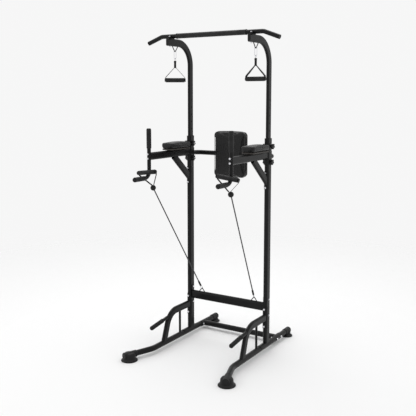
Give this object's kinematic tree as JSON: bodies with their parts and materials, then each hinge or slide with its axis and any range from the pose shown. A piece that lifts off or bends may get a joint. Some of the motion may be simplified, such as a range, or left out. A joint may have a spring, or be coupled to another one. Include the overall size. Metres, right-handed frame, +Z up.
{
  "type": "power tower",
  "caption": "Free-standing power tower: pull-up bar on telescoping masts, padded dip arms, back rest, push-up bars, hanging handles and elastic bands.",
  "frame": {"origin": "on the floor, in the middle of the frame's width and of its length over the feet", "axes": "+Z up; +X to the right of a person looking at the back rest; -Y towards that person, on the side of the dip arms"},
  "size_m": [0.987, 1.0559, 2.117],
  "materials": {
    "frame_steel": "satin black powder coat",
    "foot_rubber": "matte moulded rubber",
    "black_plastic": "fine-grained moulded plastic",
    "sleeve_rubber": "matte",
    "board_wood": "black-stained plywood under the cushions",
    "pad_leather": "soft-sheen synthetic leather",
    "grip_foam": "dull closed-cell foam",
    "eye_steel": "black coated wire",
    "hook_chrome": "bright nickel plate",
    "bolt_zinc": "bright zinc plate",
    "cord_fabric": "braided cover over an elastic core",
    "webbing": "woven nylon webbing"
  },
  "bodies": {
    "frame": {"rail_left": "frame_steel", "rail_right": "frame_steel", "feet": "foot_rubber", "rear_crossbar": "frame_steel", "lower_crossbar": "frame_steel", "arch_left": "frame_steel", "arch_right": "frame_steel", "pushup_bars": "frame_steel", "pushup_grips": "grip_foam", "upright_left": "frame_steel", "upright_right": "frame_steel", "bushes": "black_plastic", "pin_barrels": "frame_steel", "arm_left": "frame_steel", "arm_right": "frame_steel", "pad_boards": "board_wood", "arm_pad_left": "pad_leather", "arm_pad_right": "pad_leather", "post_left": "frame_steel", "post_right": "frame_steel", "post_grips": "grip_foam", "back_bar": "frame_steel", "back_board": "board_wood", "back_pad": "pad_leather", "crossbar_eyes": "eye_steel", "cord_hooks": "hook_chrome", "cord_sleeves": "sleeve_rubber", "cord_left": "cord_fabric", "cord_right": "cord_fabric", "frame_bolts": "bolt_zinc", "arm_bolts": "bolt_zinc", "nut_caps": "black_plastic", "tube_caps": "black_plastic"},
    "top_frame": {"mast_left": "frame_steel", "mast_right": "frame_steel", "mast_guides": "black_plastic", "mast_eyes": "eye_steel", "top_caps": "black_plastic", "pullup_bar": "frame_steel", "bar_grip": "grip_foam", "bar_bolts": "bolt_zinc"},
    "lock_pin_left": {"lock_pin_left": "black_plastic"},
    "arm_knob_left": {"arm_knob_left": "black_plastic"},
    "hook_left": {"hook_left": "hook_chrome"},
    "gate_left": {"gate_left": "hook_chrome"},
    "strap_left": {"strap_left": "webbing", "ring_left": "hook_chrome"},
    "hand_grip_left": {"hand_grip_left": "grip_foam"},
    "band_left": {"yoke_left": "webbing"},
    "band_grip_left": {"band_grip_left": "grip_foam"},
    "lock_pin_right": {"lock_pin_right": "black_plastic"},
    "arm_knob_right": {"arm_knob_right": "black_plastic"},
    "hook_right": {"hook_right": "hook_chrome"},
    "gate_right": {"gate_right": "hook_chrome"},
    "strap_right": {"strap_right": "webbing", "ring_right": "hook_chrome"},
    "hand_grip_right": {"hand_grip_right": "grip_foam"},
    "band_right": {"yoke_right": "webbing"},
    "band_grip_right": {"band_grip_right": "grip_foam"}
  },
  "joints": [
    {"name": "mast_height", "type": "slide", "parent": "frame", "child": "top_frame", "axis": [0, 0, 1], "range_m": [-0.3, 0]},
    {"name": "lock_pin_left_slide", "type": "slide", "parent": "frame", "child": "lock_pin_left", "axis": [-1, 0, 0], "range_m": [-0.0045, 0]},
    {"name": "arm_knob_left_turn", "type": "hinge", "parent": "frame", "child": "arm_knob_left", "pos_m": [-0.304, 0.162, 1.281], "axis": [1, 0, 0], "continuous": true},
    {"name": "hook_left_swing", "type": "hinge", "parent": "top_frame", "child": "hook_left", "pos_m": [-0.304, -0.022, 2.00435], "axis": [0, 1, 0], "range_deg": [-45, 45]},
    {"name": "gate_left_open", "type": "hinge", "parent": "hook_left", "child": "gate_left", "pos_m": [-0.312, -0.022, 1.97085], "axis": [0, 1, 0], "range_deg": [0, 28], "stiffness_Nm_per_rad": 0.02, "springref_deg": -22.92},
    {"name": "strap_left_swing", "type": "hinge", "parent": "hook_left", "child": "strap_left", "pos_m": [-0.304, -0.022, 1.95685], "axis": [1, 0, 0], "range_deg": [-45, 45]},
    {"name": "hand_grip_left_spin", "type": "hinge", "parent": "strap_left", "child": "hand_grip_left", "pos_m": [-0.304, -0.022, 1.81515], "axis": [0.848, 0.5299, 0], "continuous": true},
    {"name": "band_left_pull", "type": "slide", "parent": "frame", "child": "band_left", "axis": [0, -1, 0], "range_m": [0, 0.3], "stiffness_N_per_m": 60, "springref_m": -0.15, "deforming": ["cord_left"]},
    {"name": "band_grip_left_spin", "type": "hinge", "parent": "band_left", "child": "band_grip_left", "pos_m": [-0.299, -0.355, 1.225], "axis": [-0.9903, 0.0646, -0.1233], "continuous": true},
    {"name": "lock_pin_right_slide", "type": "slide", "parent": "frame", "child": "lock_pin_right", "axis": [1, 0, 0], "range_m": [-0.0045, 0]},
    {"name": "arm_knob_right_turn", "type": "hinge", "parent": "frame", "child": "arm_knob_right", "pos_m": [0.304, 0.162, 1.281], "axis": [1, 0, 0], "continuous": true},
    {"name": "hook_right_swing", "type": "hinge", "parent": "top_frame", "child": "hook_right", "pos_m": [0.304, -0.022, 2.00435], "axis": [0, 1, 0], "range_deg": [-45, 45]},
    {"name": "gate_right_open", "type": "hinge", "parent": "hook_right", "child": "gate_right", "pos_m": [0.312, -0.022, 1.97085], "axis": [0, 1, 0], "range_deg": [-28, 0], "stiffness_Nm_per_rad": 0.02, "springref_deg": 22.92},
    {"name": "strap_right_swing", "type": "hinge", "parent": "hook_right", "child": "strap_right", "pos_m": [0.304, -0.022, 1.95685], "axis": [1, 0, 0], "range_deg": [-45, 45]},
    {"name": "hand_grip_right_spin", "type": "hinge", "parent": "strap_right", "child": "hand_grip_right", "pos_m": [0.304, -0.022, 1.81515], "axis": [0.9994, 0.0349, 0], "continuous": true},
    {"name": "band_right_pull", "type": "slide", "parent": "frame", "child": "band_right", "axis": [0, -1, 0], "range_m": [0, 0.3], "stiffness_N_per_m": 60, "springref_m": -0.15, "deforming": ["cord_right"]},
    {"name": "band_grip_right_spin", "type": "hinge", "parent": "band_right", "child": "band_grip_right", "pos_m": [0.299, -0.355, 1.225], "axis": [0.9903, 0.0646, -0.1233], "continuous": true}
  ]
}
